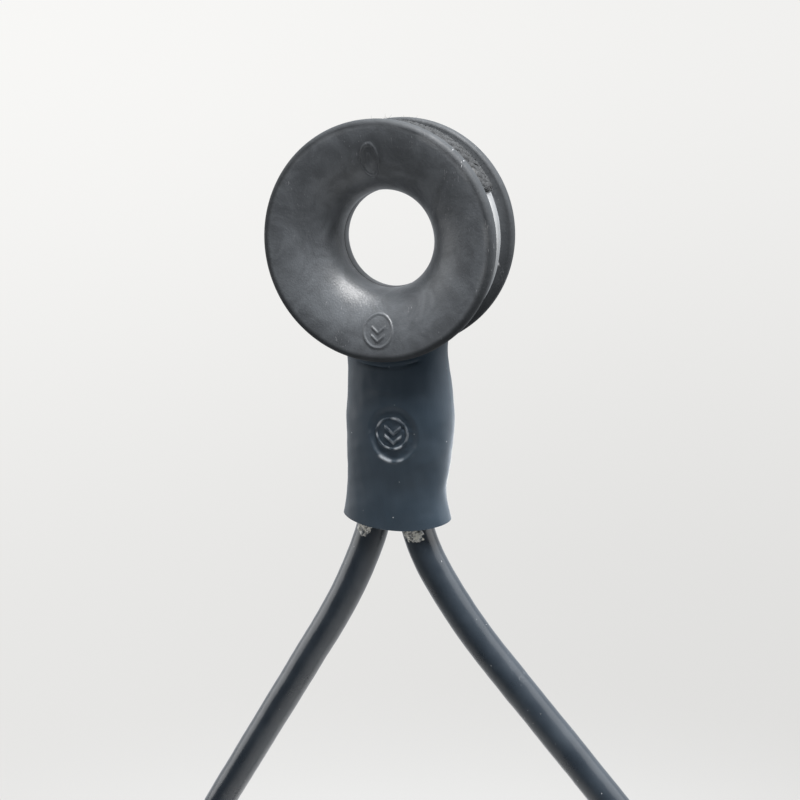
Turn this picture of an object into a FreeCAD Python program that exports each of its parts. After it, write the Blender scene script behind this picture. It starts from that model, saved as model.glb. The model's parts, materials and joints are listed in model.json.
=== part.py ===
"""Zip line trolley of the sheaveless ring kind, with a hanging hand loop.

A two-piece moulded ring runs on the line. One endless tube-covered cord passes over the ring in its
outer groove, is seized with twine straight below it, and hangs down as a closed hand loop. A glued
heat-shrink sleeve covers the seizing.

Frame: origin at the ring's centre, +Z up, +Y along the ring's bore towards the rear face, +X to the
right when seen from the front. All sizes are in millimetres, all angles in degrees.
"""

import FreeCAD, Part
import math
import os

Vector = FreeCAD.Vector

# Ring
RING_R = 23.5
RING_WIDTH = 19.5
THROAT_R = 9.8
THROAT_LAND = 3.0
LIP_ROUND = 1.15
LIP_FLAT = 0.5
RIM_INNER_ROUND = 0.9
FLANGE_THICKNESS = 3.4
SPIGOT_R = (11.6, 13.2)
SPIGOT_LENGTH = 2.5
SPIGOT_PLAY = 0.05
DISH_POINTS = 13

# Raised signs on the dish: places (x, z) and half sizes
MARK_HEIGHT = 0.2
MARK_ROOT = 0.3
MARK_STROKE = 0.5
CHEVRON_STROKE = 0.65
ROPE_SIGN = (-1.0, 15.8)
ROPE_SIGN_SIZE = (1.9, 3.2)
ROPE_SIGN_CORE = (0.6, 1.5)
LOAD_SIGN = (0.15, -17.2)
LOAD_SIGN_SIZE = (3.1, 3.4)
CHEVRON_SIZE = (1.45, 1.2)
CHEVRON_DROPS = (0.1, 1.6)

# Cord: a core inside a glossy tube, and a braided chafe sleeve where it bears on the ring
TUBE_R = 3.5
CORE_R = 2.5
CHAFE_R = 4.3
RUNNING_PLAY = 0.1
EYE_R = 19.1
CHAFE_SPAN = (25.0, 155.0)

# Path of the cord below the ring
NECK_HALF_SPACING = 3.6
EYE_BEND_R = 12.0
SPLAY_START_Z = -50.9
SPLAY_R = 39.0
LEG_R = 122.0
MOUTH_ANGLE = 24.5
LEG_ANGLE = 35.5
LOOP_LEAN = 4.9
LOOP_R = 62.0

# Joint in the tube, hidden in the seizing on the left strand
TUBE_JOINT_Z = (-42.0, -32.0)
WHIPPING_R = 3.3
JOINT_GAP = 0.1

# Seizing twine: a layer of base turns and a shorter layer of riding turns over it
TWINE_PLAY = 0.02
BASE_TWINE_R = 0.55
BASE_START_Z = -48.2
BASE_TURNS = 12
RIDING_TWINE_R = 0.36
RIDING_START_Z = -43.4
RIDING_TURNS = 9

# Heat-shrink sleeve: height, middle, half width and half depth of its outside
SLEEVE_WALL = 0.8
SLEEVE_SECTIONS = [
    (-18.0, 0.3, 12.6, 4.9),
    (-23.0, 0.9, 10.5, 5.1),
    (-28.0, 1.35, 10.65, 5.8),
    (-33.0, 1.45, 11.15, 6.6),
    (-38.0, 1.45, 11.4, 6.8),
    (-43.0, 1.2, 11.1, 6.5),
    (-48.0, 0.85, 10.75, 5.7),
    (-53.0, 0.35, 10.55, 5.0),
    (-58.0, 0.37, 11.2, 5.05),
    (-63.0, 0.45, 12.4, 5.2),
]
SLEEVE_TOP_R = 23.1
MOUTH_EDGE_R = 46.0
MOUTH_LOW = (0.9, -60.1)
STAMP = (1.9, -39.1)
STAMP_R = 5.5
STAMP_DEPTH = 0.4
ADHESIVE_TOP_Z = -49.9
ADHESIVE_RECESS = 0.5
ADHESIVE_PLAY = 0.02

# Flex points of the loop
SWAY_PIVOT_Z = -55.6
SWAY_CUT_R = 11.8
SWAY_PLAY = 0.06
SWING_PIVOT_Z = -82.0
SWING_PLAY = 0.1
SWING_SHOULDER = 2.0

FAR = 300.0
Y_AXIS = Vector(0, 1, 0)
ORIGIN = Vector(0, 0, 0)


def at(x, z, y=0.0):
    return Vector(x, y, z)


def sin(angle):
    return math.sin(math.radians(angle))


def cos(angle):
    return math.cos(math.radians(angle))


def line(a, b):
    return Part.LineSegment(a, b).toShape()


def on_circle(centre, radius, angle):
    """Point of a circle in the XZ plane; angle 0 is +X and 90 is +Z."""
    return centre + at(radius * cos(angle), radius * sin(angle))


def arc(centre, radius, start, end):
    """Arc in the XZ plane from angle start to angle end."""
    points = [on_circle(centre, radius, a) for a in (start, (start + end) / 2, end)]
    return Part.Arc(*points).toShape()


def cylinder_y(radius, x=0.0, z=0.0, y0=-FAR / 2, length=FAR):
    return Part.makeCylinder(radius, length, at(x, z, y0), Y_AXIS)


def cylinder_z(radius, x):
    return Part.makeCylinder(radius, FAR, at(x, -FAR), Vector(0, 0, 1))


def revolved(edges):
    """Solid of revolution about the ring's axis. The profile lies in the XY plane, X as radius."""
    return Part.Face(Part.Wire(edges)).revolve(ORIGIN, Y_AXIS, 360)


# ---------------------------------------------------------------------------------------- ring

DISH_END_R = RING_R - LIP_ROUND - LIP_FLAT
GROOVE_R = CHAFE_R + RUNNING_PLAY


def dish_curve(offset=0.0):
    """Quarter ellipse of the front dish, from the throat land to the face, moved out by offset."""
    across = DISH_END_R - THROAT_R + offset
    deep = RING_WIDTH / 2 - THROAT_LAND / 2 + offset
    points = []
    for step in range(DISH_POINTS):
        t = 90.0 * step / (DISH_POINTS - 1)
        r = DISH_END_R - across * cos(t)
        y = -THROAT_LAND / 2 - deep * sin(t)
        points.append(Vector(r, y, 0))
    curve = Part.BSplineCurve()
    curve.interpolate(points, InitialTangent=Vector(0, -1, 0), FinalTangent=Vector(1, 0, 0))
    return curve.toShape(), points[0], points[-1]


def round_corner(centre, radius, start, end):
    """Arc of the half profile in the XY plane."""
    points = [centre + Vector(radius * cos(a), radius * sin(a), 0) for a in (start, (start + end) / 2, end)]
    return Part.Arc(*points).toShape(), points[0], points[-1]


def ring_half_blank():
    """Front half without its marks: y runs from the face at -RING_WIDTH/2 to the middle at 0."""
    face_y = -RING_WIDTH / 2
    dish, dish_start, dish_end = dish_curve()
    lip_centre = Vector(RING_R - LIP_ROUND, face_y + LIP_ROUND, 0)
    lip, lip_start, lip_end = round_corner(lip_centre, LIP_ROUND, -90, 0)
    back_y = face_y + FLANGE_THICKNESS
    inner_centre = Vector(RING_R - RIM_INNER_ROUND, back_y - RIM_INNER_ROUND, 0)
    inner, inner_start, inner_end = round_corner(inner_centre, RIM_INNER_ROUND, 0, 90)
    # The flange's wall runs tangent into the round groove bottom.
    groove_centre = Vector(EYE_R, 0, 0)
    to_edge = inner_end - groove_centre
    direction = math.degrees(math.atan2(to_edge.y, to_edge.x))
    tangent = direction - math.degrees(math.acos(GROOVE_R / to_edge.Length))
    groove, groove_start, groove_end = round_corner(groove_centre, GROOVE_R, tangent, -180)
    throat_middle = Vector(THROAT_R, 0, 0)
    return revolved([
        line(throat_middle, dish_start),
        dish,
        line(dish_end, lip_start),
        lip,
        line(lip_end, inner_start),
        inner,
        line(inner_end, groove_start),
        groove,
        line(groove_end, throat_middle),
    ])


def oval_prism(place, size):
    """Oval bar along Y through the front half. place is (x, z) and size is half its width and height."""
    x, z = place
    half_width, half_height = size
    middle = at(x, z, -RING_WIDTH)
    ellipse = Part.Ellipse(middle + at(0, half_height), middle + at(half_width, 0), middle)
    return Part.Face(Part.Wire(ellipse.toShape())).extrude(Vector(0, RING_WIDTH, 0))


def oval_ring(place, size):
    inner_size = [half - MARK_STROKE for half in size]
    return oval_prism(place, size).cut(oval_prism(place, inner_size))


def chevron(x, z):
    """Bent bar along Y whose tip points down to (x, z)."""
    half_width, rise = CHEVRON_SIZE
    tip = at(x, z, -RING_WIDTH)
    lower = [tip + at(-half_width, rise), tip, tip + at(half_width, rise)]
    upper = [point - at(0, CHEVRON_STROKE) for point in reversed(lower)]
    outline = lower + upper
    return Part.Face(Part.makePolygon(outline + outline[:1])).extrude(Vector(0, RING_WIDTH, 0))


def ring_marks():
    """Raised marks on the dish: a rope-section sign at the top, a load arrow at the bottom."""
    outer, outer_start, outer_end = dish_curve(MARK_HEIGHT)
    inner, inner_start, inner_end = dish_curve(-MARK_ROOT)
    skin = revolved([outer, line(outer_end, inner_end), inner, line(inner_start, outer_start)])
    signs = [oval_ring(ROPE_SIGN, ROPE_SIGN_SIZE), oval_prism(ROPE_SIGN, ROPE_SIGN_CORE)]
    signs.append(oval_ring(LOAD_SIGN, LOAD_SIGN_SIZE))
    x, z = LOAD_SIGN
    signs += [chevron(x, z - drop) for drop in CHEVRON_DROPS]
    return [skin.common(sign) for sign in signs]


def ring_body(radii, length):
    outer = cylinder_y(radii[1], y0=0, length=length)
    return outer.cut(cylinder_y(radii[0], y0=0, length=length))


def marked_half():
    half = ring_half_blank()
    for mark in ring_marks():
        half = half.fuse(mark)
    return half


def ring_front_half():
    """Front half, with the spigot that locates the rear half."""
    spigot = ring_body(SPIGOT_R, SPIGOT_LENGTH)
    return marked_half().fuse(spigot).removeSplitter()


def ring_rear_half():
    """Rear half, with the socket for the front half's spigot. Its marks read right from behind."""
    half = marked_half()
    half.rotate(ORIGIN, Vector(0, 0, 1), 180)
    socket = ring_body((SPIGOT_R[0] - SPIGOT_PLAY, SPIGOT_R[1] + SPIGOT_PLAY), SPIGOT_LENGTH + SPIGOT_PLAY)
    return half.cut(socket)


# ---------------------------------------------------------------------------------- cord's path


class Leg:
    """One side of the cord below the ring, in the XZ plane. side is +1 on the right, -1 on the left."""

    def __init__(self, side):
        self.side = side
        self.mouth_angle = MOUTH_ANGLE + side * LOOP_LEAN
        self.angle = LEG_ANGLE + side * LOOP_LEAN
        bend_x = NECK_HALF_SPACING + EYE_BEND_R
        self.bend_z = -math.sqrt((EYE_R + EYE_BEND_R) ** 2 - bend_x**2)
        self.wrap_end = math.degrees(math.atan2(self.bend_z, bend_x))
        self.splay_centre = at(NECK_HALF_SPACING + SPLAY_R, SPLAY_START_Z)
        mouth = on_circle(self.splay_centre, SPLAY_R, 180 + self.mouth_angle)
        self.leg_centre = mouth + at(LEG_R * cos(self.mouth_angle), LEG_R * sin(self.mouth_angle))
        self.straight_start = on_circle(self.leg_centre, LEG_R, 180 + self.angle)

    def mirrored(self, edge):
        return edge if self.side > 0 else edge.mirror(ORIGIN, Vector(1, 0, 0))

    def place(self, point):
        return at(self.side * point.x, point.z)

    def bend(self):
        centre = at(NECK_HALF_SPACING + EYE_BEND_R, self.bend_z)
        return self.mirrored(arc(centre, EYE_BEND_R, 180 + self.wrap_end, 180))

    def neck(self):
        start = at(NECK_HALF_SPACING, self.bend_z)
        return self.mirrored(line(start, at(NECK_HALF_SPACING, SPLAY_START_Z)))

    def splay(self):
        return self.mirrored(arc(self.splay_centre, SPLAY_R, 180, 180 + self.mouth_angle))

    def curve(self):
        return self.mirrored(arc(self.leg_centre, LEG_R, 180 + self.mouth_angle, 180 + self.angle))

    def straight(self, length):
        return line(self.place(self.straight_start), self.end(length))

    def end(self, length):
        """Lower end of the straight stretch of that length."""
        point = self.straight_start + at(length * sin(self.angle), -length * cos(self.angle))
        return self.place(point)


RIGHT = Leg(1)
LEFT = Leg(-1)


def straight_lengths():
    """Lengths of the right and left straight stretches that let one arc of LOOP_R close the loop."""
    right_centre = RIGHT.end(0) - at(LOOP_R * cos(RIGHT.angle), LOOP_R * sin(RIGHT.angle))
    left_centre = LEFT.end(0) - at(-LOOP_R * cos(LEFT.angle), LOOP_R * sin(LEFT.angle))
    gap = left_centre - right_centre
    # right_centre + p * (sin, -cos) of the right angle = left_centre + q * (-sin, -cos) of the left angle
    a, b = sin(RIGHT.angle), sin(LEFT.angle)
    c, d = -cos(RIGHT.angle), cos(LEFT.angle)
    whole = a * d - b * c
    return (gap.x * d - b * gap.z) / whole, (a * gap.z - gap.x * c) / whole


RIGHT_LENGTH, LEFT_LENGTH = straight_lengths()


def eye_path():
    """From half way down the right leg, up over the ring and down to half way down the left leg."""
    over_ring = arc(ORIGIN, EYE_R, RIGHT.wrap_end, 180 - RIGHT.wrap_end)
    right = [RIGHT.straight(RIGHT_LENGTH / 2), RIGHT.curve(), RIGHT.splay(), RIGHT.neck(), RIGHT.bend()]
    left = [LEFT.bend(), LEFT.neck(), LEFT.splay(), LEFT.curve(), LEFT.straight(LEFT_LENGTH / 2)]
    return Part.Wire(Part.__sortEdges__(right + [over_ring] + left))


def loop_path():
    """From the top of the right leg's curve, round the bottom and up to the left leg's."""
    centre = RIGHT.end(RIGHT_LENGTH) - at(LOOP_R * cos(RIGHT.angle), LOOP_R * sin(RIGHT.angle))
    bottom = arc(centre, LOOP_R, RIGHT.angle, -180 - LEFT.angle)
    right = [RIGHT.curve(), RIGHT.straight(RIGHT_LENGTH)]
    left = [LEFT.straight(LEFT_LENGTH), LEFT.curve()]
    return Part.Wire(Part.__sortEdges__(right + [bottom] + left))


def pipe(path, radius):
    """Round bar along a path."""
    first = path.OrderedEdges[0]
    start = path.OrderedVertexes[0].Point
    tangent = first.tangentAt(first.FirstParameter)
    profile = Part.Wire(Part.makeCircle(radius, start, tangent))
    shell = Part.BRepOffsetAPI.MakePipeShell(path)
    shell.setFrenetMode(True)
    shell.add(profile)
    shell.build()
    shell.makeSolid()
    return shell.shape()


# -------------------------------------------------------------------- where the flex points cut


def below(z):
    return Part.makeBox(FAR, FAR, FAR, Vector(-FAR / 2, -FAR / 2, z - FAR))


def above(z):
    return Part.makeBox(FAR, FAR, FAR, Vector(-FAR / 2, -FAR / 2, z))


def cylinder_x(radius, z):
    return Part.makeCylinder(radius, FAR, Vector(-FAR / 2, 0, z), Vector(1, 0, 0))


def neck_part(bar):
    """What the neck holds: everything inside the sway cylinder or above its axis."""
    outside = below(SWAY_PIVOT_Z).cut(cylinder_y(SWAY_CUT_R - SWAY_PLAY, z=SWAY_PIVOT_Z))
    return bar.cut(outside)


def root_part(bar, side):
    """The short stretch of one leg between the sway and the swing flex points."""
    kept = below(SWAY_PIVOT_Z).common(above(SWING_PIVOT_Z + SWING_SHOULDER))
    kept = kept.cut(cylinder_y(SWAY_CUT_R + SWAY_PLAY, z=SWAY_PIVOT_Z))
    kept = kept.cut(cylinder_x(TUBE_R + SWING_PLAY, SWING_PIVOT_Z))
    half = Part.makeBox(FAR, FAR, FAR, Vector(0 if side > 0 else -FAR, -FAR / 2, -FAR))
    return bar.common(kept.common(half))


def loop_part(bar):
    """Everything below the swing flex point, with rounded tops on both legs."""
    return bar.common(below(SWING_PIVOT_Z).fuse(cylinder_x(TUBE_R, SWING_PIVOT_Z)))


def slab(z0, z1, side):
    """Block that takes in one strand of the neck between two heights."""
    x = 0 if side > 0 else -FAR
    return Part.makeBox(FAR, FAR, z1 - z0, Vector(x, -FAR / 2, z0))


# ----------------------------------------------------------------------------- neck's own parts


def chafe_sleeve():
    """Braided cover on the cord where it bears on the ring's groove."""
    centre = Vector(EYE_R, 0, 0)
    outer, inner = (Part.Face(Part.Wire(Part.makeCircle(r, centre))) for r in (CHAFE_R, TUBE_R))
    start, end = CHAFE_SPAN
    sleeve = outer.cut(inner).Faces[0].revolve(ORIGIN, -Y_AXIS, end - start)
    sleeve.rotate(ORIGIN, -Y_AXIS, start)
    return sleeve


def twine_turn(bow_r, z, pitch):
    """One turn of twine round both strands: two helical bows joined by two straight runs."""
    bow, straight = math.pi * bow_r, 2 * NECK_HALF_SPACING
    bow_rise = pitch * bow / (2 * (bow + straight))
    edges = []
    for side, start_z in ((1, z), (-1, z + pitch / 2)):
        helix = Part.makeHelix(2 * bow_rise, bow_rise, bow_r)
        helix.rotate(ORIGIN, Vector(0, 0, 1), -90 * side)
        helix.translate(at(side * NECK_HALF_SPACING, start_z))
        run_start = at(side * NECK_HALF_SPACING, start_z + bow_rise, side * bow_r)
        run_end = at(-side * NECK_HALF_SPACING, start_z + pitch / 2, side * bow_r)
        edges += [helix.Edges[0], line(run_start, run_end)]
    return edges


def twine(twine_r, under_r, start_z, turns):
    """Close turns of twine, as one piece, round both strands."""
    bow_r = under_r + TWINE_PLAY + twine_r
    pitch = 2 * (twine_r + TWINE_PLAY)
    edges = []
    for turn in range(turns):
        edges += twine_turn(bow_r, start_z + turn * pitch, pitch)
    start = edges[0].valueAt(edges[0].FirstParameter)
    tangent = edges[0].tangentAt(edges[0].FirstParameter)
    shell = Part.BRepOffsetAPI.MakePipeShell(Part.Wire(edges))
    shell.setBiNormalMode(Vector(0, 0, 1))
    shell.add(Part.Wire(Part.makeCircle(twine_r, start, tangent)))
    shell.build()
    shell.makeSolid()
    return shell.shape()


def stadium_wire(middle, half_width, half_depth, z):
    """Long round section of the sleeve at height z."""
    left_x, right_x = middle - half_width + half_depth, middle + half_width - half_depth
    right_front, right_rear = at(right_x, z, -half_depth), at(right_x, z, half_depth)
    left_front, left_rear = at(left_x, z, -half_depth), at(left_x, z, half_depth)
    right = Part.Arc(right_front, at(middle + half_width, z), right_rear).toShape()
    left = Part.Arc(left_rear, at(middle - half_width, z), left_front).toShape()
    return Part.Wire([right, line(right_rear, left_rear), left, line(left_front, right_front)])


def sleeve_form(inset):
    """The sleeve's outside, or its inside when inset by the wall."""
    wires = []
    for z, middle, half_width, half_depth in SLEEVE_SECTIONS:
        wires.append(stadium_wire(middle, half_width - inset, half_depth - inset, z))
    return Part.makeLoft(wires, True, False)


def mouth_region(recess=0.0):
    """Everything above the sleeve's cut mouth, whose edge is a shallow arc seen from the front."""
    low_x, low_z = MOUTH_LOW
    centre_z = low_z + MOUTH_EDGE_R
    return cylinder_y(MOUTH_EDGE_R - recess, low_x, centre_z).fuse(above(centre_z))


def shrink_sleeve():
    """Sleeve shrunk over the seizing, from just below the ring to a mouth that hangs lowest in the middle."""
    outside = sleeve_form(0)
    stamp = cylinder_y(STAMP_R, *STAMP, y0=-FAR, length=FAR)
    stamp = stamp.common(outside.cut(sleeve_form(STAMP_DEPTH)))
    wall = outside.cut(sleeve_form(SLEEVE_WALL)).cut(cylinder_y(SLEEVE_TOP_R))
    return wall.common(mouth_region()).cut(stamp)


def mouth_adhesive(tube_bar):
    """Hot-melt liner that fills the sleeve's lower end round both tubes."""
    fill = sleeve_form(SLEEVE_WALL + ADHESIVE_PLAY)
    fill = fill.common(mouth_region(ADHESIVE_RECESS)).common(below(ADHESIVE_TOP_Z))
    return fill.cut(tube_bar)


# ---------------------------------------------------------------------------------------- export


def build():
    eye_wire, loop_wire = eye_path(), loop_path()
    eye_bar, eye_core_bar = pipe(eye_wire, TUBE_R), pipe(eye_wire, CORE_R)
    loop_bar, loop_core_bar = pipe(loop_wire, TUBE_R), pipe(loop_wire, CORE_R)
    eye_tube_bar, loop_tube_bar = eye_bar.cut(eye_core_bar), loop_bar.cut(loop_core_bar)

    neck_tube = neck_part(eye_tube_bar)
    joint_low, joint_high = TUBE_JOINT_Z
    left_end_zone = slab(-FAR, joint_low, -1)
    whipping_zone = slab(joint_low + JOINT_GAP, joint_high - JOINT_GAP, -1)
    whipping_bar = cylinder_z(WHIPPING_R, -NECK_HALF_SPACING)
    riding_r = TUBE_R + 2 * (BASE_TWINE_R + TWINE_PLAY)

    return {
        "ring_front_half": ring_front_half(),
        "ring_rear_half": ring_rear_half(),
        "eye_tube": neck_tube.cut(slab(-FAR, joint_high, -1)),
        "left_tube_end": neck_tube.common(left_end_zone),
        "eye_core": neck_part(eye_core_bar),
        "splice_whipping": whipping_bar.common(whipping_zone).cut(eye_core_bar),
        "chafe_sleeve": chafe_sleeve(),
        "seizing_base_turns": twine(BASE_TWINE_R, TUBE_R, BASE_START_Z, BASE_TURNS),
        "seizing_riding_turns": twine(RIDING_TWINE_R, riding_r, RIDING_START_Z, RIDING_TURNS),
        "shrink_sleeve": shrink_sleeve(),
        "mouth_adhesive": mouth_adhesive(eye_bar),
        "left_root_tube": root_part(eye_tube_bar, -1),
        "left_root_core": root_part(eye_core_bar, -1),
        "right_root_tube": root_part(eye_tube_bar, 1),
        "right_root_core": root_part(eye_core_bar, 1),
        "loop_tube": loop_part(loop_tube_bar),
        "loop_core": loop_part(loop_core_bar),
    }


os.makedirs("parts", exist_ok=True)
for name, shape in build().items():
    solids = shape.Solids
    state = "valid" if shape.isValid() else "INVALID"
    print(name, len(solids), "solids", round(shape.Volume, 1), "mm3", state)
    kept = solids[0] if len(solids) == 1 else Part.makeCompound(solids)
    kept.exportStep(f"parts/{name}.step")
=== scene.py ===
"""Looks of the zip line ring trolley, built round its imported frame. +Z is up and the front is -Y.

Shapes are worked out in millimetres and written to Blender in metres.
"""

import json
import math

import bmesh
import bpy
import numpy as np
from mathutils import Matrix, Vector


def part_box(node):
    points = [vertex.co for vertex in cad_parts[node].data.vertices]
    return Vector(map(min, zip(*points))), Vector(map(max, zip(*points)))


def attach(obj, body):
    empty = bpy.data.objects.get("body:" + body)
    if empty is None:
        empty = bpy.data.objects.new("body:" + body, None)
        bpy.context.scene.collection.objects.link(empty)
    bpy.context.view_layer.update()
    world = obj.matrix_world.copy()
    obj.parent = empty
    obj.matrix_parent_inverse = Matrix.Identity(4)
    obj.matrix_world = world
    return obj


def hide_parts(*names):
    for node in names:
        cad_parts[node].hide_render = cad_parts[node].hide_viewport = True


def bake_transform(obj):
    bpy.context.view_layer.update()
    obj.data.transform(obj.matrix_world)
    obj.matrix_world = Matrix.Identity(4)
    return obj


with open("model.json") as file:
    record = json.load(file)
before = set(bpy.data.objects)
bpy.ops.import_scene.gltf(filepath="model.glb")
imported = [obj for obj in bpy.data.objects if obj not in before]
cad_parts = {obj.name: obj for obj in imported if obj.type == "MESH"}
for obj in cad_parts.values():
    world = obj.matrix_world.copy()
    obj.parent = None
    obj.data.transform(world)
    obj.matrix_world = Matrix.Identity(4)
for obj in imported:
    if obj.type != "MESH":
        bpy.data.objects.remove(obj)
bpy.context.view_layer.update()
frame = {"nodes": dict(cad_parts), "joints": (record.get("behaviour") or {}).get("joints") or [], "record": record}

MM = 0.001

# Sizes read off the frame, in millimetres
ROPE_BORE = next(mount for mount in frame["record"]["mounts"] if mount["name"] == "rope_bore")
THROAT_R = ROPE_BORE["dims"]["r_mm"]
THROAT_LAND = ROPE_BORE["dims"]["length_mm"]
RING_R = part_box("ring_front_half")[1].z / MM
RING_HALF_WIDTH = -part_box("ring_front_half")[0].y / MM
TUBE_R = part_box("loop_tube")[1].y / MM
CORE_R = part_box("loop_core")[1].y / MM
CHAFE_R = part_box("chafe_sleeve")[1].y / MM
EYE_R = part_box("chafe_sleeve")[1].z / MM - CHAFE_R
SWING_JOINT = next(joint for joint in frame["joints"] if joint["name"] == "loop_swing")
SWING_Z = SWING_JOINT["pos_m"][2] / MM

# The cord's path, as the CAD part lays it
NECK_HALF_SPACING = 3.6
EYE_BEND_R = 12.0
SPLAY_START_Z = -50.9
SPLAY_R = 39.0
LEG_R = 122.0
MOUTH_ANGLE = 24.5
LEG_ANGLE = 35.5
LOOP_LEAN = 4.9
LOOP_R = 62.0
PATH_STEP = 0.7
PATH_SOFTENING = 1.6
TANGENT_REACH = 0.3
SEARCH_STEP = 0.05

# Ring profile
DISH_POINTS = 96
LIP_POINTS = 12
RIM_INNER_POINTS = 8
GROOVE_POINTS = 26
PARTING_POINTS = 5
LIP_ROUND = 1.15
LIP_FLAT = 0.5
RIM_INNER_ROUND = 0.9
FLANGE_THICKNESS = 3.4
GROOVE_R = CHAFE_R + 0.1
SPIGOT_R = (11.6, 13.2)
SPIGOT_LENGTH = 2.5
SPIGOT_PLAY = 0.05
PARTING_ROUND = 0.14


# ------------------------------------------------------------------------------- numbers


def cosd(angle):
    return np.cos(np.radians(angle))


def sind(angle):
    return np.sin(np.radians(angle))


def smoothstep(low, high, value):
    t = np.clip((value - low) / (high - low), 0.0, 1.0)
    return t * t * (3.0 - 2.0 * t)


def ripples(points, wavelength, seed, waves=9):
    """Smooth noise of about unit size: a sum of seeded plane waves of roughly that wavelength."""
    draw = np.random.default_rng(seed)
    total = np.zeros(points.shape[:-1])
    for _ in range(waves):
        direction = draw.normal(size=3)
        direction /= np.linalg.norm(direction)
        stretch = draw.uniform(0.7, 1.4)
        phase = draw.uniform(0.0, 2.0 * np.pi)
        total += np.cos(points @ direction * (2.0 * np.pi / (wavelength * stretch)) + phase)
    return total / math.sqrt(waves)


# -------------------------------------------------------------------------------- meshes


class Shape:
    """Points and faces gathered from sheets, in millimetres."""

    def __init__(self):
        self.points = []
        self.faces = []
        self.count = 0

    def sheet(self, grid, wrap_rows=False, wrap_columns=False):
        """Adds a grid of points, rows by columns, as quads."""
        rows, columns = grid.shape[:2]
        i, j = np.meshgrid(
            np.arange(rows if wrap_rows else rows - 1),
            np.arange(columns if wrap_columns else columns - 1),
            indexing="ij",
        )
        row, next_row = i * columns, (i + 1) % rows * columns
        next_j = (j + 1) % columns
        quads = np.stack([row + j, row + next_j, next_row + next_j, next_row + j], -1)
        self.faces += (quads.reshape(-1, 4) + self.count).tolist()
        self.points.append(grid.reshape(-1, 3))
        self.count += rows * columns
        return self

    def bar(self, grid):
        """Adds a grid whose columns close into a bar, with a flat fan on each end."""
        rows, columns = grid.shape[:2]
        first = self.count
        self.sheet(grid, wrap_columns=True)
        for row in (0, rows - 1):
            start = first + row * columns
            self.points.append(grid[row].mean(0)[None])
            self.faces += [[start + j, start + (j + 1) % columns, self.count] for j in range(columns)]
            self.count += 1
        return self

    def piece(self, name, material, sharp_angle=42.0):
        """Makes the Blender object, with normals facing out and edges sharper than sharp_angle kept."""
        mesh = bpy.data.meshes.new(name)
        mesh.from_pydata((np.concatenate(self.points) * MM).tolist(), [], self.faces)
        work = bmesh.new()
        work.from_mesh(mesh)
        bmesh.ops.recalc_face_normals(work, faces=work.faces)
        work.to_mesh(mesh)
        work.free()
        mesh.shade_smooth()
        mesh.set_sharp_from_angle(angle=math.radians(sharp_angle))
        mesh.materials.append(material)
        obj = bpy.data.objects.new(name, mesh)
        bpy.context.scene.collection.objects.link(obj)
        return obj


# ---------------------------------------------------------------------------- cord's path


def on_circle(centre, radius, angle):
    return np.stack([centre[0] + radius * cosd(angle), centre[1] + radius * sind(angle)], -1)


def arc_run(centre, radius, start, end):
    """Points (x, z) of an arc, without its last one."""
    count = max(2, round(abs(math.radians(end - start)) * radius / PATH_STEP * 2))
    return on_circle(centre, radius, np.linspace(start, end, count, endpoint=False))


def line_run(start, end):
    count = max(2, round(math.dist(start, end) / PATH_STEP * 2))
    return np.linspace(start, end, count, endpoint=False)


class Leg:
    """One side of the cord below the ring, drawn on the right."""

    def __init__(self, lean):
        self.mouth_angle = MOUTH_ANGLE + lean
        self.angle = LEG_ANGLE + lean
        bend_x = NECK_HALF_SPACING + EYE_BEND_R
        self.bend_centre = (bend_x, -math.sqrt((EYE_R + EYE_BEND_R) ** 2 - bend_x**2))
        self.wrap_end = math.degrees(math.atan2(self.bend_centre[1], bend_x))
        self.splay_centre = (NECK_HALF_SPACING + SPLAY_R, SPLAY_START_Z)
        mouth = on_circle(self.splay_centre, SPLAY_R, 180 + self.mouth_angle)
        self.leg_centre = mouth + LEG_R * np.array([cosd(self.mouth_angle), sind(self.mouth_angle)])
        self.straight_start = on_circle(self.leg_centre, LEG_R, 180 + self.angle)
        self.loop_centre = self.straight_start - LOOP_R * np.array([cosd(self.angle), sind(self.angle)])
        self.direction = np.array([sind(self.angle), -cosd(self.angle)])

    def runs(self, straight_length):
        """Points from the ring's top down to the end of the straight stretch."""
        return np.concatenate([
            arc_run((0.0, 0.0), EYE_R, 90.0, self.wrap_end),
            arc_run(self.bend_centre, EYE_BEND_R, 180 + self.wrap_end, 180.0),
            line_run((NECK_HALF_SPACING, self.bend_centre[1]), (NECK_HALF_SPACING, SPLAY_START_Z)),
            arc_run(self.splay_centre, SPLAY_R, 180.0, 180 + self.mouth_angle),
            arc_run(self.leg_centre, LEG_R, 180 + self.mouth_angle, 180 + self.angle),
            line_run(self.straight_start, self.straight_start + straight_length * self.direction),
        ])


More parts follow.
